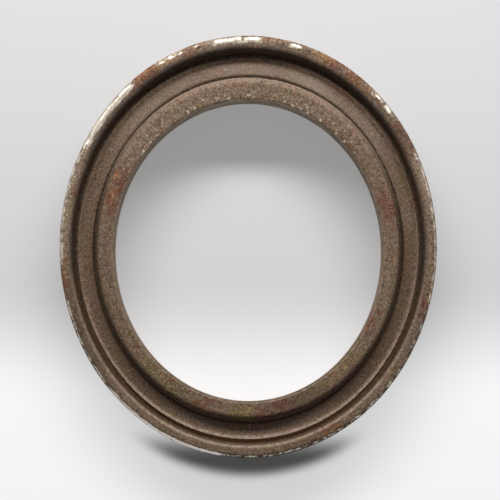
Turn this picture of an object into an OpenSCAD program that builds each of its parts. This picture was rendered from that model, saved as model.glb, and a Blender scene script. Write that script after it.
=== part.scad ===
// Hydraulic oil seal: one metal ring, turned in a single piece, that lies on its flat back.
// Its face has a raised hub round the bore, a stepped floor between two grooves, and a raised
// rim. The axis is Z, the back lies at z = 0, and the whole section turns round the axis.

/* [Ring] */
// Diameter of the bore
bore_d = 63.5; // [20:0.1:200]
// Height from the flat back to the face of the rim
ring_h = 9.5; // [7:0.1:16]

/* [Hub] */
// Radial width of the hub at its foot, from the bore to the narrow groove
hub_w = 4.45; // [3:0.05:6]
// How far the hub's outer wall leans inward from its foot to its face
hub_lean = 0.55; // [0:0.05:0.6]
// Depth of the hub's face below the face of the rim
hub_drop = 0.1; // [0:0.05:0.5]
// Radius of the rounded shoulder on the hub's outer edge
shoulder_r = 1.2; // [0.3:0.05:1.4]
// Radius of the worn edge where the hub's face meets the bore
mouth_r = 0.4; // [0.1:0.05:0.9]

/* [Floor of the step] */
// Radial width of the floor, between the two grooves
floor_w = 3.6; // [2:0.05:12]
// Depth of the floor below the face of the rim
floor_drop = 2.2; // [1.8:0.1:4]
// Radius of the floor's inner edge
floor_edge_r = 0.15; // [0.1:0.05:0.2]
// Width of the raised lip along the floor's outer edge
lip_w = 0.95; // [0.5:0.05:1.2]
// Height of the lip above the floor
lip_h = 0.4; // [0:0.05:0.5]
// Radius of the lip's crest
lip_r = 0.15; // [0.1:0.05:0.3]

/* [Narrow groove at the hub's foot] */
// Width of the narrow groove
foot_groove_w = 0.5; // [0.2:0.05:0.8]
// Depth of the narrow groove below the floor
foot_groove_h = 0.4; // [0.4:0.1:2]

/* [V-shaped groove at the rim's foot] */
// Width of the groove at its bottom, from the foot of the lip to the foot of the rim
rim_groove_w = 0.7; // [0.5:0.05:2.6]
// Depth of the groove below the floor
rim_groove_h = 0.4; // [0.3:0.1:2.5]
// How far the groove's inner wall leans outward on its way down from the lip
rim_groove_lean = 0.1; // [0:0.05:0.4]
// Radius of the corners at the bottom, as far as the groove is wide and deep enough for them
rim_groove_r = 0.2; // [0.1:0.05:0.5]

/* [Rim] */
// Radial width of the rim at its face
rim_w = 2.75; // [2.5:0.05:4]
// How far the rim's inner wall leans outward from the groove to its face
rim_lean = 0.7; // [0:0.05:1.2]
// Radius of the rim's inner edge
rim_inner_r = 1; // [0.2:0.05:1.2]
// Radius of the rim's outer edge
rim_outer_r = 1.1; // [0.3:0.05:1.25]

/* [Back] */
// Chamfer on both edges of the flat back
back_chamfer = 0.5; // [0.1:0.05:1.2]

/* [Hidden] */

// Flat pieces that stand for each rounded corner of the section, and for one full turn
corner_steps = 6;
turn_steps = 240;

// Radii of the section, from the bore outward
bore_r = bore_d / 2;
hub_r = bore_r + hub_w;
floor_inner_r = hub_r + foot_groove_w;
floor_outer_r = floor_inner_r + floor_w;
rim_foot_r = floor_outer_r + rim_groove_w;
rim_r = rim_foot_r + rim_lean;
outer_r = rim_r + rim_w;

// Heights of the section above the flat back
hub_z = ring_h - hub_drop;
floor_z = ring_h - floor_drop;
foot_groove_r = foot_groove_w / 2;
foot_groove_z = floor_z - foot_groove_h;
rim_groove_z = floor_z - rim_groove_h;

// Share of its width that the outer groove keeps flat at the bottom, and of its depth upright
groove_flat_share = 0.1;
groove_corner_r = min(
    rim_groove_r,
    rim_groove_h * (1 - groove_flat_share),
    (rim_groove_w - rim_groove_lean) * (1 - groove_flat_share) / 2
);

// Angles by which the two leaning walls stand off the axis
hub_wall_angle = atan(hub_lean / (hub_z - foot_groove_z));
rim_wall_angle = atan(rim_lean / (ring_h - rim_groove_z));

// Steepness of the lip's inner side, as the angle where its round crest starts
lip_angle = 120;

// Points of a round corner about the centre (r, z), between two angles
function corner(r, z, radius, from, to) = [
    for (i = [0:corner_steps])
        let (angle = from + (to - from) * i / corner_steps)
        [r + radius * cos(angle), z + radius * sin(angle)]
];

// Distance along a level face from the edge of a leaning wall to where its rounding starts
function setback(radius, wall_angle) = radius * tan((90 - wall_angle) / 2);

function hub_outline() =
    let (shoulder = hub_r - hub_lean - setback(shoulder_r, hub_wall_angle))
    concat(
        corner(bore_r + mouth_r, hub_z - mouth_r, mouth_r, 180, 90),
        corner(shoulder, hub_z - shoulder_r, shoulder_r, 90, hub_wall_angle)
    );

function foot_groove_outline() =
    corner(hub_r + foot_groove_r, foot_groove_z + foot_groove_r, foot_groove_r, 180, 360);

function floor_outline() = concat(
    corner(floor_inner_r + floor_edge_r, floor_z - floor_edge_r, floor_edge_r, 180, 90),
    [[floor_outer_r - lip_w, floor_z]],
    corner(floor_outer_r - lip_r, floor_z + lip_h - lip_r, lip_r, lip_angle, 0)
);

function rim_groove_outline() =
    let (
        inner = floor_outer_r + rim_groove_lean + groove_corner_r,
        outer = rim_foot_r - groove_corner_r,
        z = rim_groove_z + groove_corner_r
    )
    concat(
        corner(inner, z, groove_corner_r, 180, 270),
        corner(outer, z, groove_corner_r, 270, 360)
    );

function rim_outline() =
    let (edge = rim_r + setback(rim_inner_r, rim_wall_angle))
    concat(
        corner(edge, ring_h - rim_inner_r, rim_inner_r, 180 - rim_wall_angle, 90),
        corner(outer_r - rim_outer_r, ring_h - rim_outer_r, rim_outer_r, 90, 0)
    );

function back_outline() = [
    [outer_r, back_chamfer],
    [outer_r - back_chamfer, 0],
    [bore_r + back_chamfer, 0],
    [bore_r, back_chamfer]
];

// Half section of the ring, from the bore outward over the face and back along the base
module ring_section() {
    polygon(concat(
        hub_outline(),
        foot_groove_outline(),
        floor_outline(),
        rim_groove_outline(),
        rim_outline(),
        back_outline()
    ));
}

module seal_ring() {
    color([0.44, 0.36, 0.3])
        rotate_extrude($fn = turn_steps)
            ring_section();
}

seal_ring();
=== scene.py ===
"""Looks of the hydraulic oil seal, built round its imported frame, in metres.

One finely divided mesh with the relief of the rust stands for the plain CAD ring. Angles called
clock are in degrees from the top of the picture, +Y, and grow clockwise as the camera sees them.
"""

import math

import bpy
import numpy as np
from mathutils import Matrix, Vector


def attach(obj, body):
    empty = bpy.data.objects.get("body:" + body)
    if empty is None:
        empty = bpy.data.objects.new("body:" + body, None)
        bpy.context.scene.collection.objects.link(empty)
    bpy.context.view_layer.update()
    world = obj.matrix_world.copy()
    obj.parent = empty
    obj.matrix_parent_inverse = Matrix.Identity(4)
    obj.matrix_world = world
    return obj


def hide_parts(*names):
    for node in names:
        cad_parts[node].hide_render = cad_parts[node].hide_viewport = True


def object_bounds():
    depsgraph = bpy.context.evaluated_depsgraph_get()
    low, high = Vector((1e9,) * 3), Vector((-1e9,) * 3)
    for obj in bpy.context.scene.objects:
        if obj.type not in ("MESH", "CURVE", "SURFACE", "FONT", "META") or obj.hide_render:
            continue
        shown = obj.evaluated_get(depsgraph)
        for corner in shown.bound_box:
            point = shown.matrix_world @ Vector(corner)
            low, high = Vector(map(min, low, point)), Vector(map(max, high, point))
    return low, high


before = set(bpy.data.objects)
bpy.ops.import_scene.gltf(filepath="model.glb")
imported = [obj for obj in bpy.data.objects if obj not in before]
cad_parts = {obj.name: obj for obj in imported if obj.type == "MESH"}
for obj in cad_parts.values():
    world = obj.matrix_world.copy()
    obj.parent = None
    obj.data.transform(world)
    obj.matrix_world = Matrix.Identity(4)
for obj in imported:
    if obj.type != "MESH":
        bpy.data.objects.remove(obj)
cad_low, cad_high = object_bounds()

MM = 0.001
SEED = 5506
rng = np.random.default_rng(SEED)

# The ring's section, with the values of its construction
OUTER_R = cad_high.x
RING_H = cad_high.z
RIM_W = 2.75 * MM
RIM_LEAN = 0.7 * MM
RIM_INNER_R = 1.0 * MM
RIM_OUTER_R = 1.1 * MM
RIM_GROOVE_W = 0.7 * MM
RIM_GROOVE_H = 0.4 * MM
RIM_GROOVE_LEAN = 0.1 * MM
RIM_GROOVE_R = 0.2 * MM
FLOOR_W = 3.6 * MM
FLOOR_DROP = 2.2 * MM
FLOOR_EDGE_R = 0.15 * MM
LIP_W = 0.95 * MM
LIP_H = 0.4 * MM
LIP_R = 0.15 * MM
FOOT_GROOVE_W = 0.5 * MM
FOOT_GROOVE_H = 0.4 * MM
HUB_W = 4.45 * MM
HUB_LEAN = 0.55 * MM
HUB_DROP = 0.1 * MM
SHOULDER_R = 1.2 * MM
MOUTH_R = 0.4 * MM
BACK_CHAMFER = 0.5 * MM

RIM_R = OUTER_R - RIM_W
RIM_FOOT_R = RIM_R - RIM_LEAN
FLOOR_OUTER_R = RIM_FOOT_R - RIM_GROOVE_W
FLOOR_INNER_R = FLOOR_OUTER_R - FLOOR_W
HUB_R = FLOOR_INNER_R - FOOT_GROOVE_W
BORE_R = HUB_R - HUB_W
HUB_Z = RING_H - HUB_DROP
FLOOR_Z = RING_H - FLOOR_DROP
RIM_GROOVE_Z = FLOOR_Z - RIM_GROOVE_H
FOOT_GROOVE_Z = FLOOR_Z - FOOT_GROOVE_H
HUB_WALL_ANGLE = math.degrees(math.atan(HUB_LEAN / (HUB_Z - FOOT_GROOVE_Z)))
RIM_WALL_ANGLE = math.degrees(math.atan(RIM_LEAN / (RING_H - RIM_GROOVE_Z)))

# How finely the ring is divided: round the axis, and along its face, its walls and its back.
# The last value keeps a stretch that is whole steps long from being cut once more.
TURNS = 800
FACE_STEP = 0.28 * MM
WALL_STEP = 0.75 * MM
BACK_STEP = 1.4 * MM
ROUNDING = 1e-6

# Relief of the rust: size and height in mm of each of its waves on the hub and the floor, and the
# share of that height on the rim, in the bore, and on the outside and the back
RUST_WAVES = [(3.2, 0.008), (1.3, 0.010), (0.7, 0.013)]
RIM_RELIEF = 0.8
BORE_RELIEF = 0.5
BACK_RELIEF = 0.7

# Pits in the face: how many, inner and outer radius, and the ranges of reach and depth
PITS = [
    (320, BORE_R, RIM_FOOT_R, (0.25 * MM, 0.55 * MM), (0.01 * MM, 0.05 * MM)),
    (160, RIM_R, OUTER_R, (0.25 * MM, 0.6 * MM), (0.015 * MM, 0.06 * MM)),
]

# Dents along the rim's outer edge: how many all round, how many more between the two crowded
# clocks, and the ranges of half width in degrees and of depth in mm. They are deepest at the
# inset from the outside, and they end at the drop below the rim's face, after a fade.
NICKS = 44
CROWDED_NICKS = 11
CROWDED = (136, 166)
NICK_HALF = (0.5, 1.5)
NICK_DEPTH = (0.01, 0.08)
NICK_INSET = 0.35 * MM
NICK_W = 0.45 * MM
NICK_DROP = 2.2 * MM
NICK_FADE = 0.8 * MM

# Limits of marks on the section: a radius past the ring's edge, the heights above which zones
# and pits lie, how far the rim's rounded side reaches inward, how far down it the marks go, and
# how far those of a groove go past its edge
BEYOND_R = 1.1 * OUTER_R
ZONE_LOW = 4 * MM
PIT_LOW = 6 * MM
RIM_SIDE_W = 0.9 * MM
RIM_SIDE_H = 2.0 * MM
SPILL = 0.05 * MM

# Marks on the ring: first and last clock, which may pass 360, inner and outer radius in mm,
# strength. First come worn metal, pale flakes, dark rust with painted shade along the rim's inner
# edge, paler rust with painted light on the floor's top, and duller rust with painted shade at
# the sides of the hub and the floor.
BARE = [
    (349, 364, 43.0, 44.2, 0.9), (372, 376, 43.2, 44.1, 0.85), (400, 409, 43.3, 44.3, 0.75),
    (61, 80, 43.7, 44.3, 0.8), (80, 104, 43.8, 44.3, 0.85), (104, 124, 43.8, 44.3, 0.5),
    (124, 148, 43.8, 44.3, 0.7), (148, 176, 43.8, 44.3, 0.75), (176, 188, 43.8, 44.3, 0.75),
    (188, 230, 43.8, 44.4, 1.5), (230, 258, 43.8, 44.3, 0.85), (267, 277, 43.6, 45, 0.8),
    (277, 300, 43.7, 45, 0.75), (300, 323, 42.9, 45, 1.0), (332, 341, 43.4, 44.5, 0.75),
    (341, 346, 43.6, 44.2, 0.5),
]
FLAKES = [
    (334.2, 335.4, 32.0, 32.8, 1.0), (337.6, 338.5, 32.1, 32.7, 0.8),
    (342.2, 342.9, 33.9, 34.4, 0.7), (346.7, 348.2, 32.5, 33.0, 0.9),
    (351.2, 352.8, 32.1, 32.5, 1.0), (359.0, 361.4, 32.5, 32.8, 0.8),
    (361.2, 362.4, 32.0, 32.4, 1.0), (375.0, 375.9, 34.2, 34.8, 0.8),
    (377.8, 379.4, 32.0, 32.5, 1.0), (381.8, 382.8, 32.0, 32.5, 0.9),
    (384.5, 385.9, 31.9, 32.4, 0.9), (390.5, 391.7, 31.9, 32.6, 0.9),
    (398.6, 399.6, 31.9, 32.5, 0.8), (403.0, 404.2, 31.9, 32.6, 0.8),
    (311.0, 312.1, 31.9, 32.7, 0.9), (315.5, 316.6, 32.0, 32.6, 0.8),
]
# The long marks along the rim's inner edge, over the sides and the top, are painted shade; the
# short ones are dark rust
DARK_AND_PAINTED_SHADE = [
    (262, 296, 41.2, 42.1, 0.9), (296, 322, 41.2, 42.6, 0.9), (322, 362, 41.2, 42.6, 0.85),
    (362, 382, 41.2, 42.6, 0.75), (382, 422, 41.2, 42.5, 0.75), (62, 98, 41.2, 42.3, 0.5),
    (369, 372, 42.6, 43.6, 0.8), (377, 380, 42.6, 43.8, 0.6), (98, 125, 42.2, 43.2, 0.3),
    (235, 262, 42.2, 43.4, 0.35), (148, 172, 32, 35, 0.25), (411, 420, 42.6, 44.6, 0.5),
    (394, 410, 42.2, 43.3, 0.4), (384, 394, 42.0, 42.9, 0.5),
]
# On the rim, pale rust; on the floor's top and the hub's shoulder at the top, painted light
PALE_AND_PAINTED_LIGHT = [
    (312, 345, 36.7, 39.6, 0.3), (345, 372, 36.6, 39.4, 0.45), (372, 392, 36.6, 39.4, 0.7),
    (392, 412, 36.7, 39.2, 0.25), (332, 370, 42.9, 43.8, 0.5), (274, 302, 42.8, 44.0, 0.6),
    (61, 78, 42.8, 44.2, 0.7), (347, 353, 43.2, 44.4, 0.9), (300, 410, 35.3, 36.1, 0.25),
]
# Duller rust; on the sides of the hub and the floor, painted shade
DULL_AND_PAINTED_SHADE = [
    (48, 92, 31.8, 36.2, 0.15), (232, 284, 31.8, 36.2, 0.25), (148, 166, 31.8, 36, 0.35),
    (195, 232, 31.8, 36, 0.2), (58, 80, 36.6, 40.4, 0.45), (80, 148, 36.6, 39.6, 0.8),
    (212, 302, 36.6, 39.8, 0.6), (232, 262, 42, 44, 0.5), (350, 400, 31.4, 32.6, 0.4),
    (396, 416, 31.4, 33.0, 0.6), (288, 308, 31.4, 32.8, 0.5),
]

# Patches of red, ochre and olive rust, where pale chips lie, and where the bare metal of the
# bottom outer edge is brightened as a painted reflection
RED = [
    (363, 371, 42.6, 44.4, 0.55), (384, 399, 42.0, 45, 0.85), (411, 421, 42.0, 45, 0.9),
    (100, 109, 42.2, 45, 0.5), (147, 171, 41.5, 44, 0.5), (258, 267, 42.5, 45, 0.5),
    (286, 292, 41.8, 44, 0.5), (321, 332, 42.0, 45, 0.95), (339, 347, 42.2, 45, 0.7),
    (66.5, 73, 31.6, 34.4, 0.75), (70, 77.5, 32.6, 36.0, 0.75), (110, 121, 31.6, 34.2, 0.6),
    (160, 177, 32.2, 36, 0.7), (211, 217, 31.6, 33.2, 0.6), (284, 303, 32.2, 35.4, 0.75),
    (40, 47, 31.6, 33, 0.5), (262, 272, 36.8, 39, 0.4), (30, 38, 37.8, 40.2, 0.4),
    (334, 345, 31.6, 33, 0.3), (190, 204, 32.2, 35, 0.5), (228, 238, 32.4, 34.6, 0.45),
    (0, 9, 31, 32, 0.4),
]
OCHRE = [
    (289.5, 293.5, 33.0, 34.2, 1.4), (363, 370, 42.8, 44.2, 0.5), (323, 338, 42.8, 45, 0.7),
    (379, 386, 42.5, 44.4, 0.9), (391, 397, 42.2, 43.4, 0.7), (96, 104, 43.2, 44.2, 0.9),
    (260, 270, 43, 45, 0.6), (148, 156, 42.2, 44, 0.5), (177, 189, 32.4, 34.8, 0.42),
    (266, 274, 38, 39.6, 0.35), (32, 44, 41.9, 43.6, 0.5), (121, 130, 42, 43.5, 0.4),
    (126, 150, 32.2, 34.8, 0.36), (214, 230, 32.2, 34.6, 0.36), (296, 299, 34.2, 35.2, 0.8),
]
OLIVE = [
    (375, 379, 42.2, 44.0, 0.5), (61, 98, 41.8, 43.8, 0.4), (115, 145, 42, 43.8, 0.45),
    (384, 392, 43.4, 44.4, 0.7), (404, 411, 42.2, 43.2, 0.8), (278, 301, 42.2, 44.0, 0.65),
    (128, 160, 31.8, 34.6, 0.7), (176, 190, 32, 36, 0.6), (198, 245, 31.8, 35.6, 0.65),
    (186, 222, 42, 43.8, 0.45), (346, 362, 41.8, 42.8, 0.5), (308, 313, 38.6, 40.2, 0.9),
    (205, 240, 37.4, 39.6, 0.4), (62, 70, 37.4, 39.6, 0.35), (336, 341, 31.6, 32.8, 0.8),
]
CHIPPED = [
    (300, 410, 31.7, 34.2, 1.0), (252, 440, 42.6, 44.5, 0.55), (80, 136, 42.8, 44.2, 0.6),
    (174, 236, 32.2, 35.0, 0.5), (120, 156, 32.2, 34.6, 0.4), (266, 304, 42.8, 44.6, 1.9),
]
# Painted reflection on the bare metal of the bottom outer edge
PAINTED_SHEEN = [(148, 178, 43.6, 45, 0.4), (178, 218, 43.6, 45, 0.8)]

# Colours of the metal's states, and tints that multiply what lies under them
RUST_DARK = (0.060, 0.036, 0.023)
RUST_MID = (0.168, 0.112, 0.080)
RUST_LIGHT = (0.315, 0.230, 0.175)
WARM_TINT = (1.10, 0.88, 0.81)
GREENISH_TINT = (0.96, 1.0, 0.85)
BLOTCH_TINT = (0.93, 1.0, 0.83)
# Tint of duller rust and of painted shade
DULL_AND_PAINTED_SHADE_TINT = (0.62, 0.57, 0.51)
RED_TINT = (0.90, 0.66, 0.63)
DEEP_RED_TINT = (0.82, 0.74, 0.74)
OCHRE_TINT = (1.26, 1.13, 0.84)
OLIVE_TINT = (0.94, 0.97, 0.80)
# Colour of the painted shade in grooves, at the hub's foot, on the rim's inner wall and in the
# bore's mouth
PAINTED_SHADE_COLOUR = (0.034, 0.019, 0.009)
# Reddish brown of the rim's groove, paled as painted light lifting its shadow at the bottom
EARTH_AND_PAINTED_LIGHT = (0.38, 0.20, 0.105)
CREAM = (0.57, 0.50, 0.38)
# Colour of dark rust and of the painted shade along the rim's inner edge
DARK_RUST_AND_PAINTED_SHADE = (0.050, 0.043, 0.035)
# Colour of pale rust and of the painted light
PALE_RUST_AND_PAINTED_LIGHT = (0.40, 0.32, 0.26)
WALL_STEEL = (0.53, 0.425, 0.325)
# Colour of worn edges and of their painted highlights
WORN_AND_PAINTED_HIGHLIGHT = (0.42, 0.32, 0.25)
METAL = (0.62, 0.56, 0.475)
METAL_DULL = (0.42, 0.37, 0.30)
# Brighter metal for the painted reflection on the bottom outer edge
METAL_PAINTED_SHEEN = (0.78, 0.75, 0.71)
FLOOR = (0.42, 0.42, 0.425)
BLACK = (0, 0, 0)

# Noises of the material: waves per mm, detail and roughness. The scale makes the turned one's
# waves long along X and Y and short along Z. The last is the height of the grain's bumps.
GRAIN = (2.6, 3.0, 0.7)
SPECK = (1.25, 2.0, 0.6)
PATCH = (0.55, 4.0, 0.65)
BLOTCH = (0.16, 3.0, 0.6)
HUE = (0.42, 2.0, 0.5)
CHIP = (2.0, 2.0, 0.5)
WEAR = (1.1, 4.0, 0.7)
TURNED = (1.0, 3.0, 0.6)
TURNED_SCALE = (0.2, 0.2, 3.2)
BUMP = 0.07 * MM

# Brightness of the studio, as light on the ring and as the camera and the metal see it
WORLD_LIGHT = 0.17
WORLD_SHOWN = 0.78

# The floor turns into the studio between the first two distances from the ring's axis, and its
# sides lie at the third
FLOOR_NEAR = 90 * MM
FLOOR_FAR = 260 * MM
FLOOR_REACH = 3.0

# What the camera and the metal see on top of the floor's light: its brightness at the bottom and
# at the top of the picture, and from where to where along Y it changes
LIFT_BOTTOM = 0.58
LIFT_TOP = 0.25
LIFT_FROM = -32 * MM
LIFT_TO = -4 * MM

# The dark shadow close below the ring, where that brightness drops: its strength, the radii out
# to which it is full and where it has ended, and the Y where it starts and from which it is full
CONTACT_STRENGTH = 0.9
CONTACT_FULL_R = OUTER_R + 2.2 * MM
CONTACT_END_R = OUTER_R + 7 * MM
CONTACT_START_Y = -36 * MM
CONTACT_FULL_Y = -45.5 * MM

# The lamp, a strip above the top of the picture: its lean from the ring's axis in degrees, its
# distance in metres, its power in watts, and its length and width in metres
KEY_LEAN = 58
KEY_REACH = 0.36
KEY_POWER = 2.8
KEY_LENGTH = 0.64
KEY_WIDTH = 0.05

# The photograph is squeezed to this share of its width, though the ring is round. Sizes in it
# are in pixels: its side, half the ring's height, and how far right of and above the ring's axis
# the camera aims.
SQUEEZE = 0.892
PICTURE = 500
RING_HALF_HEIGHT = 211.9
AIM_RIGHT = 1.8
AIM_UP = 4.8

# The camera: its elevation in degrees, its distance, its sensor in mm, and the nearest and the
# farthest distance that it shows, in metres
CAMERA_ELEVATION = 87.6
CAMERA_REACH = 12 * OUTER_R
SENSOR = 36.0
CLIP_NEAR = 0.01
CLIP_FAR = 10


def corner(r, z, radius, start, stop, steps):
    """Points of a round corner of the section about the centre (r, z), between two angles."""
    angles = np.radians(np.linspace(start, stop, steps + 1))
    return np.column_stack([r + radius * np.cos(angles), z + radius * np.sin(angles)])


def setback(radius, wall_angle):
    """Distance from the edge of a leaning wall to where its rounding starts on a level face."""
    return radius * math.tan(math.radians(90 - wall_angle) / 2)


def divided(points, step):
    """The outline cut to stretches no longer than step, without those that have no length."""
    pieces = []
    for a, b in zip(points[:-1], points[1:]):
        count = math.ceil(np.linalg.norm(b - a) / step - ROUNDING)
        pieces.append(a + (b - a) * np.arange(count)[:, None] / max(count, 1))
    return np.vstack(pieces)


def section():
    """Outline of the ring's section as radius and height, from the bore outward and back."""
    foot_r = FOOT_GROOVE_W / 2
    groove_r = FLOOR_OUTER_R + RIM_GROOVE_LEAN + RIM_GROOVE_R
    groove_z = RIM_GROOVE_Z + RIM_GROOVE_R
    shoulder = HUB_R - HUB_LEAN - setback(SHOULDER_R, HUB_WALL_ANGLE)
    rim_edge = RIM_R + setback(RIM_INNER_R, RIM_WALL_ANGLE)
    face = np.vstack([
        corner(BORE_R + MOUTH_R, HUB_Z - MOUTH_R, MOUTH_R, 180, 90, 4),
        corner(shoulder, HUB_Z - SHOULDER_R, SHOULDER_R, 90, HUB_WALL_ANGLE, 7),
        corner(HUB_R + foot_r, FOOT_GROOVE_Z + foot_r, foot_r, 180, 360, 4),
        corner(FLOOR_INNER_R + FLOOR_EDGE_R, FLOOR_Z - FLOOR_EDGE_R, FLOOR_EDGE_R, 180, 90, 2),
        [[FLOOR_OUTER_R - LIP_W, FLOOR_Z]],
        corner(FLOOR_OUTER_R - LIP_R, FLOOR_Z + LIP_H - LIP_R, LIP_R, 120, 0, 3),
        corner(groove_r, groove_z, RIM_GROOVE_R, 180, 270, 2),
        corner(RIM_FOOT_R - RIM_GROOVE_R, groove_z, RIM_GROOVE_R, 270, 360, 2),
        corner(rim_edge, RING_H - RIM_INNER_R, RIM_INNER_R, 180 - RIM_WALL_ANGLE, 90, 6),
        corner(OUTER_R - RIM_OUTER_R, RING_H - RIM_OUTER_R, RIM_OUTER_R, 90, 0, 7),
    ])
    outside = np.array([face[-1], [OUTER_R, BACK_CHAMFER]])
    back = np.array([
        outside[-1],
        [OUTER_R - BACK_CHAMFER, 0],
        [BORE_R + BACK_CHAMFER, 0],
        [BORE_R, BACK_CHAMFER],
    ])
    bore = np.array([back[-1], face[0]])
    return np.vstack([
        divided(face, FACE_STEP),
        divided(outside, WALL_STEP),
        divided(back, BACK_STEP),
        divided(bore, WALL_STEP),
    ])


class Ring:
    """The ring as a grid: its rows turn round the axis and its columns follow the section."""

    def __init__(self):
        outline = section()
        self.r, self.z = outline.T
        after, before = np.roll(outline, -1, 0), np.roll(outline, 1, 0)
        along = after - before
        along /= np.linalg.norm(along, axis=1)[:, None]
        self.out_r, self.out_z = -along[:, 1], along[:, 0]
        steps = np.linalg.norm(after - outline, axis=1)
        self.length = steps.sum()
        self.along = np.cumsum(steps) - steps
        self.clock = np.arange(TURNS) * 360 / TURNS

    def apart(self, clock):
        """Degrees from a clock angle to each row, from -180 to 180."""
        return (self.clock - clock + 180) % 360 - 180

    def noise(self, size, stretch=1):
        """Random relief of one wave size, seamless round the ring, longer round it by a stretch."""
        girth = 2 * math.pi * (BORE_R + OUTER_R) / 2
        columns = 2 * round(self.length / FACE_STEP / 2)
        white = rng.standard_normal((TURNS, columns))
        round_axis = np.fft.fftfreq(TURNS, girth / TURNS)[:, None] * stretch
        on_section = np.fft.rfftfreq(columns, self.length / columns)[None, :]
        waves = (round_axis**2 + on_section**2) * size**2
        field = np.fft.irfft2(np.fft.rfft2(white) * waves * np.exp(-waves), s=white.shape)
        # The noise's columns are evenly spaced, and the section's points lie between them
        place = self.along / self.length * columns
        low = np.floor(place).astype(int) % columns
        share = place - np.floor(place)
        field = field[:, low] * (1 - share) + field[:, (low + 1) % columns] * share
        return field / field.std()

    def zone(self, inner, outer, soft=0.15 * MM):
        """1 on the face between two radii and 0 elsewhere, with soft ends."""
        on_face = np.clip((self.z - ZONE_LOW) / MM, 0, 1)
        rise = np.clip((self.r - inner) / soft + 0.5, 0, 1)
        fall = np.clip((outer - self.r) / soft + 0.5, 0, 1)
        return rise * fall * on_face

    def span(self, start, stop, soft):
        """1 between two clock angles and 0 elsewhere, with soft ends."""
        middle, half = (start + stop) / 2, (stop - start) / 2
        return np.clip((half - np.abs(self.apart(middle))) / soft + 0.5, 0, 1)

    def painted(self, marks, soft_turn=4, soft=0.8 * MM):
        """The marks of one list, as one strength for each point of the grid."""
        total = np.zeros((TURNS, len(self.r)))
        for start, stop, inner, outer, strength in marks:
            zone = self.zone(inner * MM, outer * MM, soft)
            mark = self.span(start, stop, min(soft_turn, stop - start))[:, None] * zone
            total = np.maximum(total, strength * mark)
        down_side = np.clip((self.z - RING_H + RIM_SIDE_H) / MM, 0, 1)
        return total * np.where(self.r > OUTER_R - RIM_SIDE_W, down_side, 1)


ring = Ring()


def pits(count, inner, outer, reaches, depths):
    """Small round pits in the face, at random places between two radii."""
    height = np.zeros((TURNS, len(ring.r)))
    inside = np.flatnonzero((ring.r > inner) & (ring.r < outer) & (ring.z > PIT_LOW))
    for _ in range(count):
        column = rng.choice(inside)
        clock = rng.uniform(0, 360)
        reach = rng.uniform(*reaches)
        depth = rng.uniform(*depths)
        turn = np.radians(ring.apart(clock)) * ring.r[column]
        along = ring.along - ring.along[column]
        rows = np.flatnonzero(np.abs(turn) < 2 * reach)
        columns = np.flatnonzero(np.abs(along) < 2 * reach)
        far = (turn[rows, None] ** 2 + along[columns] ** 2) / reach**2
        height[np.ix_(rows, columns)] -= depth * np.exp(-1.5 * far)
    return height


def nicks():
    """Small dents along the rim's outer edge, closer together where the photograph shows them."""
    height = np.zeros((TURNS, len(ring.r)))
    edge = np.exp(-(((ring.r - OUTER_R + NICK_INSET) / NICK_W) ** 2))
    edge *= np.clip((ring.z - RING_H + NICK_DROP) / NICK_FADE, 0, 1)
    clocks = np.concatenate([rng.uniform(0, 360, NICKS), rng.uniform(*CROWDED, CROWDED_NICKS)])
    for clock in clocks:
        half = rng.uniform(*NICK_HALF)
        depth = rng.uniform(*NICK_DEPTH) * MM
        height -= depth * np.exp(-((ring.apart(clock) / half) ** 2))[:, None] * edge
    return height


def relief():
    """Height of the rust and of the dents over the ring's section, in metres."""
    hub_and_floor = ring.zone(BORE_R, RIM_FOOT_R)
    rim = ring.zone(RIM_FOOT_R, BEYOND_R)
    bore = (ring.r < BORE_R + 0.01 * MM).astype(float)
    rest = np.clip(1 - hub_and_floor - rim - bore, 0, 1)
    strength = hub_and_floor + RIM_RELIEF * rim + BORE_RELIEF * bore + BACK_RELIEF * rest
    height = sum(high * ring.noise(size * MM) for size, high in RUST_WAVES)
    height = height * strength * MM
    for pit in PITS:
        height += pits(*pit)
    return height + nicks()


def foot_groove():
    """The groove at the hub's foot."""
    return ring.zone(HUB_R - SPILL, FLOOR_INNER_R + SPILL)


def rim_groove():
    """The groove at the rim's foot."""
    return ring.zone(FLOOR_OUTER_R + SPILL, RIM_FOOT_R + SPILL)


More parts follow.
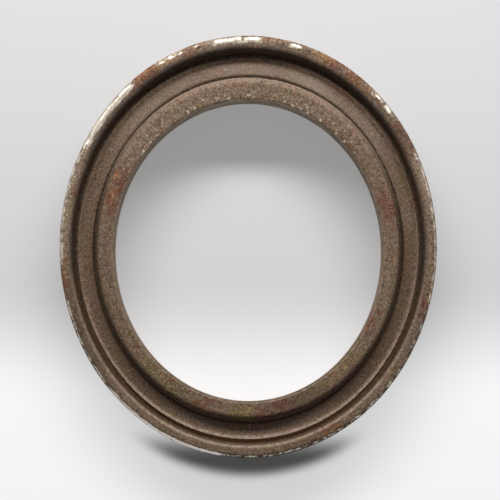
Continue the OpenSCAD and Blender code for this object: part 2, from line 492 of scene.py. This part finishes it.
def painted_shade_strength(upward, lower, unlit):
    """Painted shade at the hub's foot, on the rim's inner wall, in the bore's mouth and in grooves.
    """
    # Each part is strongest where the lamp leaves that place in shade
    foot_side = ring.zone(HUB_R - 0.75 * MM, FLOOR_INNER_R + SPILL, 0.5 * MM)
    foot_lower = ring.zone(HUB_R - 1.5 * MM, FLOOR_INNER_R + SPILL, 1.4 * MM)
    hub_foot = np.maximum(0.8 * foot_side, 0.9 * foot_groove())
    hub_foot = np.maximum(hub_foot, 0.5 * foot_lower * lower)
    hub_foot *= unlit * (1 - 0.42 * lower)

    wall = 0.93 * ring.zone(RIM_FOOT_R - 0.3 * MM, RIM_R + 0.4 * MM, 0.3 * MM)
    wall *= np.clip((RIM_R + 0.2 * MM - ring.r) / (0.5 * MM), 0, 1)
    wall = wall * (1 - 0.12 * np.clip(upward, 0, 1))
    # Low on the rim's inner wall at the bottom, a painted shadow as if cast by the lip
    lit_wall = ring.zone(RIM_FOOT_R - SPILL, RIM_R + 0.2 * MM)
    lit_wall *= np.clip((RIM_R + 0.1 * MM - ring.r) / (0.5 * MM), 0, 1)
    painted_shade = np.maximum(hub_foot, wall * (1 - lower**2) + 0.96 * lit_wall * lower)

    mouth = (ring.r < BORE_R + 0.2 * MM) & (ring.z > HUB_Z - 4 * MM)
    painted_shade = np.maximum(painted_shade, mouth * (0.1 * unlit + 0.7 * lower))
    foot_line = ring.zone(FLOOR_INNER_R - 0.1 * MM, FLOOR_INNER_R + 0.4 * MM, 0.2 * MM)
    painted_shade = np.maximum(painted_shade, 0.45 * foot_line * (1 - unlit))
    groove_sides = ring.span(88, 135, 24) + ring.span(200, 272, 24)
    painted_shade = np.maximum(painted_shade, 0.42 * rim_groove() * groove_sides[:, None])
    return np.minimum(painted_shade, 1)


def wear_and_painted_highlight(upward, lower):
    """Worn paler edges with painted highlights: the floor's lip, the rim's inner edge and a line at
    the bore's mouth.
    """
    lip = ring.zone(FLOOR_OUTER_R - 0.7 * MM, FLOOR_OUTER_R + 0.02 * MM)
    lip *= ring.z > FLOOR_Z + 0.1 * MM
    ridge = ring.zone(RIM_R - 0.1 * MM, RIM_R + 0.4 * MM, 0.3 * MM)
    mouth_line = ring.zone(BORE_R + 0.3 * MM, BORE_R + 0.5 * MM, 0.1 * MM)
    # Painted highlights: the lip and the rim's inner edge only in the lower half, where they face
    # the lamp
    edges = 0.55 * np.maximum(lip, ridge) * lower
    return np.maximum(edges, 0.5 * mouth_line * np.clip(0.3 - upward, 0, 1))


def walls(upward):
    """How polished the bore and the outside are, and the painted shade on the outside."""
    scratched = ring.noise(1.4 * MM, 9)
    blotched = ring.noise(4.5 * MM, 2)
    above_chamfer = ring.z > BACK_CHAMFER / 2
    outside = (ring.r > OUTER_R - RIM_SIDE_W) & above_chamfer
    outside = outside * np.clip((RING_H - RIM_OUTER_R + 0.3 * MM - ring.z) / (0.9 * MM), 0, 1)
    scuffed = outside * np.clip(0.16 + 0.05 * scratched + 0.08 * blotched, 0, 0.4)
    # Painted shade on the outside wall, darkest on the side towards the lamp
    dull_and_painted_shade = outside * np.clip(0.2 + 0.4 * upward - 0.1 * blotched, 0, 1)
    bore = (ring.r < BORE_R + 0.5 * MOUTH_R) & above_chamfer
    polished = bore * (0.3 + 0.55 * np.clip(upward, 0, 1))
    polished = polished * (1 + 0.12 * scratched + 0.14 * blotched)
    return np.clip(np.maximum(polished, scuffed), 0, 1), dull_and_painted_shade


def states():
    """How bare, rusted or worn the metal is at each point, and where light and shade are painted on
    it, by the name of its attribute.

    Upward is 1 at the top of the picture and -1 at its bottom. Lower is 0 in its upper half and
    grows to 1 at the bottom. Unlit is 0 only at the top, close to the lamp.
    """
    upward = np.cos(np.radians(ring.clock))[:, None]
    lower = np.clip(-upward / 0.85, 0, 1)
    unlit = np.clip((0.9 - upward) / 0.7, 0, 1)
    streak = ring.noise(0.5 * MM, 7)
    polished, dull_and_painted_shade = walls(upward)
    rim_face = ring.zone(RIM_R + 0.9 * MM, BEYOND_R, 0.6 * MM)
    shoulder = ring.zone(HUB_R - 1.3 * MM, HUB_R, 0.4 * MM) * np.clip(upward, 0, 1)
    return {
        "bare": ring.painted(BARE, 2.5, 0.4 * MM),
        # Painted reflection on the bare metal of the bottom outer edge
        "painted_sheen": ring.painted(PAINTED_SHEEN, 10, 0.6 * MM),
        "chipped": ring.painted(CHIPPED, 12),
        "pitted": rim_face * (1 - 0.7 * lower) + 0.8 * shoulder,
        "flaked": ring.painted(FLAKES, 0.7, 0.3 * MM),
        "red": ring.painted(RED),
        "ochre": ring.painted(OCHRE),
        "olive": ring.painted(OLIVE),
        # Dark rust, and painted shade along the rim's inner edge
        "dark_and_painted_shade": ring.painted(DARK_AND_PAINTED_SHADE, 6, 0.7 * MM),
        # Pale rust, and painted light on the floor's top, the hub's shoulder and the foot groove
        # near the lamp
        "pale_and_painted_light": np.maximum(ring.painted(PALE_AND_PAINTED_LIGHT, 16, 1.0 * MM), foot_groove() * (1 - unlit)),
        # Duller rust, and painted shade on the sides of the hub and the floor and on the outside
        # wall
        "dull_and_painted_shade": np.maximum(ring.painted(DULL_AND_PAINTED_SHADE, 14, 1.0 * MM), dull_and_painted_shade),
        "polished": polished,
        # Reddish brown and painted light lifting the shadow in the rim's groove at the bottom
        "earthy_and_painted_light": 0.85 * rim_groove() * lower,
        # Painted shade in the grooves, at the hub's foot, on the rim's inner wall and in the bore's
        # mouth
        "painted_shade": painted_shade_strength(upward, lower, unlit),
        # Worn edges, with painted highlights low down
        "worn": wear_and_painted_highlight(upward, lower),
        "streak": 0.5 + 0.16 * streak,
    }


def ring_mesh(height):
    """The closed mesh of the ring with its relief, kept inside the CAD box."""
    turn = np.radians(ring.clock)[:, None]
    radius = np.minimum(ring.r + ring.out_r * height, OUTER_R)
    z = np.clip(ring.z + ring.out_z * height, 0, RING_H)
    points = np.stack([radius * np.sin(turn), radius * np.cos(turn), z], axis=-1)
    columns = len(ring.r)
    row = np.arange(TURNS)[:, None] * columns
    next_row = np.roll(row, -1, 0)
    column = np.arange(columns)[None, :]
    next_column = (column + 1) % columns
    corners = [row + column, next_row + column, next_row + next_column, row + next_column]
    quads = np.stack(corners, axis=-1)
    mesh = bpy.data.meshes.new("ring_metal")
    mesh.from_pydata(points.reshape(-1, 3).tolist(), [], quads.reshape(-1, 4).tolist())
    mesh.shade_smooth()
    for name, values in states().items():
        attribute = mesh.attributes.new(name, "FLOAT", "POINT")
        attribute.data.foreach_set("value", values.astype(np.float32).ravel())
    return mesh


class Shader:
    """Short calls for the nodes of one material."""

    def __init__(self, name):
        self.material = bpy.data.materials.new(name)
        self.material.use_nodes = True
        self.tree = self.material.node_tree
        self.surface = self.tree.nodes["Principled BSDF"]

    def put(self, socket, value):
        """Links the socket to another one or sets its value."""
        if isinstance(value, bpy.types.NodeSocket):
            self.tree.links.new(value, socket)
        else:
            socket.default_value = value

    def node(self, kind, inputs=None, output=0, **settings):
        """Output of a new node with its settings, values and links."""
        made = self.tree.nodes.new("ShaderNode" + kind)
        for name, value in settings.items():
            setattr(made, name, value)
        for name, value in (inputs or {}).items():
            self.put(made.inputs[name], value)
        return made.outputs[output]

    def noise(self, place, scale, detail, roughness):
        inputs = {"Vector": place, "Scale": scale, "Detail": detail, "Roughness": roughness}
        return self.node("TexNoise", inputs)

    def state(self, name):
        """One of the attributes that states() gives the mesh."""
        return self.node("Attribute", output="Fac", attribute_name=name)

    def sum(self, a, b):
        return self.node("Math", {0: a, 1: b}, operation="ADD")

    def times(self, a, b):
        return self.node("Math", {0: a, 1: b}, operation="MULTIPLY")

    def larger(self, a, b):
        return self.node("Math", {0: a, 1: b}, operation="MAXIMUM")

    def spread(self, value, low, high, least=0.0, most=1.0):
        """The value drawn out smoothly from between low and high to between least and most."""
        inputs = {"Value": value, "From Min": low, "From Max": high}
        inputs.update({"To Min": least, "To Max": most})
        return self.node("MapRange", inputs, interpolation_type="SMOOTHSTEP")

    def ragged(self, state, noise, reach, soft):
        """A state whose soft edge and weak stretches are broken up by noise."""
        broken = self.times(state, self.spread(noise, 0.36, 0.64, 1 - reach / 2, 1 + reach / 2))
        return self.spread(broken, 0.5 - soft, 0.5 + soft)

    def blend(self, share, a, b, mode="MIX"):
        """Colour a turned into colour b by a share."""
        made = self.tree.nodes.new("ShaderNodeMix")
        made.data_type = "RGBA"
        made.blend_type = mode
        for index, value in ((0, share), (6, a), (7, b)):
            self.put(made.inputs[index], (*value, 1) if isinstance(value, tuple) else value)
        return made.outputs[2]

    def tint(self, share, colour, tint):
        """The colour multiplied by a tint, by a share."""
        return self.blend(share, colour, tint, "MULTIPLY")

    def ramp(self, value, stops):
        """Colour of a value between stops of position and colour."""
        made = self.tree.nodes.new("ShaderNodeValToRGB")
        self.put(made.inputs[0], value)
        elements = made.color_ramp.elements
        while len(elements) < len(stops):
            elements.new(0.5)
        for element, (position, colour) in zip(elements, stops):
            element.position = position
            element.color = (*colour, 1)
        return made.outputs[0]

    def finish(self, **inputs):
        """The material, with these inputs of its surface set or linked."""
        for name, value in inputs.items():
            self.put(self.surface.inputs[name.replace("_", " ")], value)
        return self.material


def rusted_steel():
    """Granular brown rust with red, ochre and olive patches, painted light and shade, and bare worn
    metal.
    """
    s = Shader("rusted_steel")
    place = s.node("TexCoord", output="Object")
    place = s.node("VectorMath", {0: place, "Scale": 1 / MM}, operation="SCALE")
    grain, speck, patch = (s.noise(place, *kind) for kind in (GRAIN, SPECK, PATCH))
    blotch, hue = (s.noise(place, *kind) for kind in (BLOTCH, HUE))

    # Grains of rust, with slow changes of hue
    colour = s.ramp(grain, [(0.28, RUST_DARK), (0.5, RUST_MID), (0.74, RUST_LIGHT)])
    colour = s.blend(s.spread(speck, 0.56, 0.74, 0.0, 0.55), colour, RUST_LIGHT)
    colour = s.blend(s.spread(speck, 0.42, 0.28, 0.0, 0.55), colour, RUST_DARK)
    colour = s.tint(s.spread(hue, 0.52, 0.68, 0.0, 0.6), colour, WARM_TINT)
    colour = s.tint(s.spread(hue, 0.48, 0.34, 0.0, 0.6), colour, GREENISH_TINT)
    colour = s.tint(s.spread(blotch, 0.5, 0.36, 0.0, 0.6), colour, BLOTCH_TINT)

    # The marks of the rust, with painted light and shade among them
    # Pale rust, and painted light on the floor's top, the hub's shoulder and the foot groove near
    # the lamp
    colour = s.blend(s.times(s.state("pale_and_painted_light"), 0.5), colour, PALE_RUST_AND_PAINTED_LIGHT)
    # Duller rust, and painted shade on the sides of the hub and the floor and on the outside wall
    colour = s.tint(s.state("dull_and_painted_shade"), colour, DULL_AND_PAINTED_SHADE_TINT)
    colour = s.tint(s.ragged(s.state("olive"), patch, 1.3, 0.3), colour, OLIVE_TINT)
    red = s.ragged(s.state("red"), patch, 1.3, 0.25)
    colour = s.tint(red, colour, RED_TINT)
    deep = s.times(red, s.spread(hue, 0.48, 0.6, 0, 0.6))
    colour = s.tint(deep, colour, DEEP_RED_TINT)
    colour = s.tint(s.ragged(s.state("ochre"), speck, 1.5, 0.3), colour, OCHRE_TINT)
    pitted = s.times(s.state("pitted"), s.spread(speck, 0.47, 0.33, 0, 0.7))
    colour = s.blend(pitted, colour, RUST_DARK)
    # Dark rust, and painted shade along the rim's inner edge
    dark_and_painted_shade = s.times(s.state("dark_and_painted_shade"), s.spread(patch, 0.35, 0.7, 0.9, 0.6))
    colour = s.blend(dark_and_painted_shade, colour, DARK_RUST_AND_PAINTED_SHADE)
    # Reddish brown and painted light lifting the shadow in the rim's groove at the bottom
    colour = s.blend(s.state("earthy_and_painted_light"), colour, EARTH_AND_PAINTED_LIGHT)
    chips = s.spread(s.noise(place, *CHIP), 0.59, 0.71, 0, 0.6)
    chips = s.times(s.state("chipped"), chips)
    flakes = s.times(s.state("flaked"), s.spread(grain, 0.3, 0.6, 0.5, 1.5))
    flakes = s.spread(flakes, 0.4, 0.95, 0, 0.68)
    colour = s.blend(s.larger(chips, flakes), colour, CREAM)

    # Walls with faint lines round the axis, worn edges with painted highlights, and painted shade
    # on top
    turned = s.node("VectorMath", {0: place, 1: TURNED_SCALE}, operation="MULTIPLY")
    turned = s.spread(s.noise(turned, *TURNED), 0.35, 0.65, 0.65, 1.3)
    polished = s.times(s.state("polished"), s.spread(grain, 0.3, 0.62, 0.5, 1.1))
    polished = s.times(polished, turned)
    colour = s.blend(polished, colour, WALL_STEEL)
    # Worn edges, with painted highlights low down
    worn = s.times(s.state("worn"), s.spread(speck, 0.35, 0.65, 0.35, 1.0))
    colour = s.blend(worn, colour, WORN_AND_PAINTED_HIGHLIGHT)
    # Painted shade in the grooves, at the hub's foot, on the rim's inner wall and in the bore's
    # mouth
    painted_shade = s.times(s.state("painted_shade"), s.spread(speck, 0.3, 0.7, 0.97, 0.8))
    colour = s.blend(painted_shade, colour, PAINTED_SHADE_COLOUR)

    # Bare metal, with an edge that noise and streaks break up
    streak = s.state("streak")
    edge = s.spread(s.noise(place, *WEAR), 0.35, 0.65, -0.3, 0.3)
    edge = s.sum(edge, s.times(streak, 0.8))
    bare = s.spread(s.sum(s.state("bare"), edge), 0.68, 1.42, 0, 0.93)
    bare = s.times(bare, s.spread(s.state("bare"), 0.02, 0.25))
    shade = s.sum(streak, s.spread(grain, 0.3, 0.7, -0.2, 0.2))
    metal = s.ramp(shade, [(0.25, METAL_DULL), (0.75, METAL)])
    # Painted reflection: the bare metal on the bottom outer edge is made brighter
    metal = s.blend(s.state("painted_sheen"), metal, METAL_PAINTED_SHEEN)
    colour = s.blend(bare, colour, metal)

    height = s.sum(grain, s.times(speck, 0.9))
    strength = s.spread(bare, 0, 1, 0.8, 0.25)
    shine = s.larger(bare, s.times(polished, 0.5))
    return s.finish(
        Base_Color=colour,
        Metallic=s.times(shine, 0.9),
        Roughness=s.spread(shine, 0, 1, 0.88, 0.42),
        Specular_IOR_Level=0.12,
        Normal=s.node("Bump", {"Height": height, "Distance": BUMP, "Strength": strength}),
    )


def pale_floor():
    """Matt pale floor, brightened only for the camera and for what the metal mirrors."""
    s = Shader("pale_floor")
    seen = [s.node("LightPath", output=f"Is {kind} Ray") for kind in ("Camera", "Glossy")]
    place = s.node("TexCoord", output="Object")
    y = s.node("SeparateXYZ", {0: place}, output="Y")
    distance = s.node("VectorMath", {0: place}, output="Value", operation="LENGTH")
    lift = s.spread(y, LIFT_FROM, LIFT_TO, LIFT_BOTTOM, LIFT_TOP)
    contact = s.spread(distance, CONTACT_FULL_R, CONTACT_END_R, CONTACT_STRENGTH, 0)
    contact = s.times(contact, s.spread(y, CONTACT_START_Y, CONTACT_FULL_Y))
    lift = s.times(lift, s.spread(contact, 0, 1, 1, 0))
    lift = s.times(lift, s.spread(distance, FLOOR_NEAR, FLOOR_FAR, 1, 0))
    lift = s.sum(lift, s.spread(distance, FLOOR_NEAR, FLOOR_FAR, 0, WORLD_SHOWN))
    return s.finish(
        Base_Color=s.blend(s.spread(distance, FLOOR_NEAR, FLOOR_FAR), FLOOR, BLACK),
        Roughness=0.95,
        Specular_IOR_Level=0.0,
        Emission_Color=(1, 1, 1, 1),
        Emission_Strength=s.times(s.larger(*seen), lift),
    )


def make_ring():
    """The visible ring, which stands for the CAD ring and rides its body."""
    piece = bpy.data.objects.new("ring_metal", ring_mesh(relief()))
    bpy.context.collection.objects.link(piece)
    piece.data.materials.append(rusted_steel())
    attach(piece, "root")
    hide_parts("seal_ring")


def make_floor():
    """The one floor that the ring lies on, wide enough to reach past every view."""
    mesh = bpy.data.meshes.new("floor")
    around = ((-1, -1), (1, -1), (1, 1), (-1, 1))
    corners = [(x * FLOOR_REACH, y * FLOOR_REACH, 0) for x, y in around]
    mesh.from_pydata(corners, [], [(0, 1, 2, 3)])
    floor = bpy.data.objects.new("floor", mesh)
    bpy.context.collection.objects.link(floor)
    mesh.materials.append(pale_floor())


def make_world():
    """Soft even light, with a pale studio for the camera and for what the metal mirrors."""
    world = bpy.data.worlds.new("studio")
    bpy.context.scene.world = world
    world.use_nodes = True
    tree = world.node_tree
    path = tree.nodes.new("ShaderNodeLightPath")
    seen = tree.nodes.new("ShaderNodeMath")
    seen.operation = "MAXIMUM"
    tree.links.new(path.outputs["Is Camera Ray"], seen.inputs[0])
    tree.links.new(path.outputs["Is Glossy Ray"], seen.inputs[1])
    strength = tree.nodes.new("ShaderNodeMapRange")
    strength.inputs["To Min"].default_value = WORLD_LIGHT
    strength.inputs["To Max"].default_value = WORLD_SHOWN
    tree.links.new(seen.outputs[0], strength.inputs["Value"])
    background = tree.nodes["Background"]
    background.inputs["Color"].default_value = (1, 1, 1, 1)
    tree.links.new(strength.outputs[0], background.inputs["Strength"])


def make_key():
    """The strip lamp, which the camera doesn't see."""
    lamp = bpy.data.lights.new("key", "AREA")
    lamp.shape = "RECTANGLE"
    lamp.size = KEY_LENGTH
    lamp.size_y = KEY_WIDTH
    lamp.energy = KEY_POWER
    key = bpy.data.objects.new("key", lamp)
    bpy.context.collection.objects.link(key)
    lean = math.radians(KEY_LEAN)
    centre = Vector((0, 0, RING_H))
    key.location = centre + Vector((0, math.sin(lean), math.cos(lean))) * KEY_REACH
    key.rotation_mode = "QUATERNION"
    key.rotation_quaternion = (centre - key.location).to_track_quat("-Z", "Y")
    key.visible_camera = False


def make_camera():
    """A long lens almost straight above the ring.

    Its upright axis leans away from the ring in the plane of sight, which stretches the picture
    upright by as much as the photograph is squeezed across. The lean comes from a turned camera
    under a pivot with unequal scales. Any other view has an upright camera.
    """
    lean = math.acos(SQUEEZE)
    data = bpy.data.cameras.new("camera")
    data.sensor_fit = "HORIZONTAL"
    data.sensor_width = SENSOR
    data.lens = SENSOR * SQUEEZE * RING_HALF_HEIGHT / PICTURE * CAMERA_REACH / OUTER_R
    data.clip_start = CLIP_NEAR
    data.clip_end = CLIP_FAR
    camera = bpy.data.objects.new("camera", data)
    bpy.context.collection.objects.link(camera)
    pivot = bpy.data.objects.new("camera_pivot", None)
    bpy.context.collection.objects.link(pivot)
    elevation = math.radians(CAMERA_ELEVATION)
    pixel = OUTER_R / RING_HALF_HEIGHT
    aim = Vector((AIM_RIGHT * pixel / SQUEEZE, AIM_UP * pixel, RING_H))
    back = Vector((0, -math.cos(elevation), math.sin(elevation)))
    pivot.location = aim + back * CAMERA_REACH
    pivot.rotation_euler = (math.pi / 4 - lean / 2 - elevation, 0, 0)
    pivot.scale = (1, math.sqrt(1 + math.sin(lean)), math.sqrt(1 - math.sin(lean)))
    camera.parent = pivot
    camera.rotation_euler = (math.pi / 4, 0, 0)
    bpy.context.scene.camera = camera


bpy.context.scene.view_settings.view_transform = "Standard"
make_camera()
make_ring()
make_floor()
make_world()
make_key()
